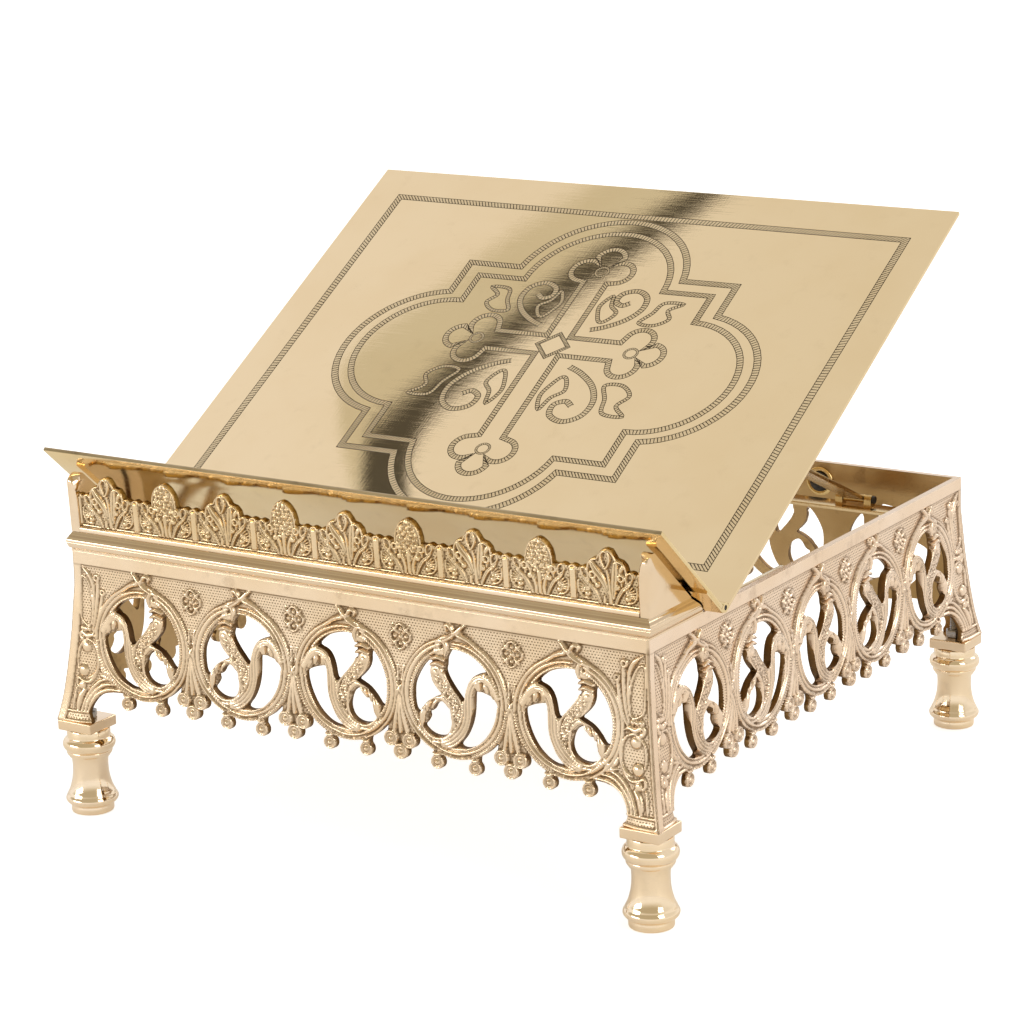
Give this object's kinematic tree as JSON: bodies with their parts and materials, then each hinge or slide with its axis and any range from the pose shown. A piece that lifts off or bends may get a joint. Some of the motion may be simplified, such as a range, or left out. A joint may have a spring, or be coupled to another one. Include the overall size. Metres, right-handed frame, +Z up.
{
  "type": "missal_stand",
  "caption": "Brass missal stand: square pierced scrollwork base on turned feet, hinged book plate with leaning ledge and cresting, folding prop inside.",
  "frame": {"origin": "on the floor, under the middle of the square base", "axes": "+Z up, +X to the reader's right, the ledge and cresting face -Y"},
  "size_m": [0.3246, 0.3246, 0.2605],
  "materials": {
    "cast_brass": "cast and chased, polished outside, dull brown patina inside and in the hollows",
    "turned_brass": "turned or drawn, polished, slightly worn",
    "sheet_brass": "rolled sheet, polished, with engraved bands and fine wiping scratches",
    "aged_brass": "unpolished, dull golden brown",
    "steel": "threaded, slightly rusted",
    "dark_steel": "blackened with age"
  },
  "bodies": {
    "base": {"front_panel": "cast_brass", "back_panel": "cast_brass", "left_panel": "cast_brass", "right_panel": "cast_brass", "leg_pads": "cast_brass", "turned_feet": "turned_brass", "foot_studs": "steel", "foot_nuts": "steel", "front_moulding": "turned_brass", "left_return": "turned_brass", "right_return": "turned_brass", "cresting": "cast_brass", "left_bracket": "cast_brass", "right_bracket": "cast_brass", "hinge_rail": "aged_brass", "left_rail_arm": "aged_brass", "right_rail_arm": "aged_brass", "fixed_leaf": "aged_brass", "leaf_screws": "dark_steel", "hinge_pin": "dark_steel", "prop_rail": "aged_brass", "prop_lugs": "aged_brass", "prop_pins": "dark_steel", "buffer_washers": "aged_brass", "buffer_screws": "dark_steel"},
    "book_rest": {"moving_leaf": "sheet_brass", "book_plate": "sheet_brass", "ledge": "sheet_brass", "prop_cleats": "aged_brass"},
    "prop_frame": {"left_prop_arm": "aged_brass", "right_prop_arm": "aged_brass", "prop_rod": "aged_brass"}
  },
  "joints": [
    {"name": "rest_tilt", "type": "hinge", "parent": "base", "child": "book_rest", "pos_m": [0, -0.1032, 0.1279], "axis": [1, 0, 0], "range_deg": [-30, 0]},
    {"name": "prop_fold", "type": "hinge", "parent": "base", "child": "prop_frame", "pos_m": [0, 0.127, 0.1156], "axis": [1, 0, 0], "range_deg": [-0.5, 42.5]}
  ],
  "couplings": [
    {"joint": "prop_fold", "follows": "rest_tilt", "ratio": -1.4}
  ]
}
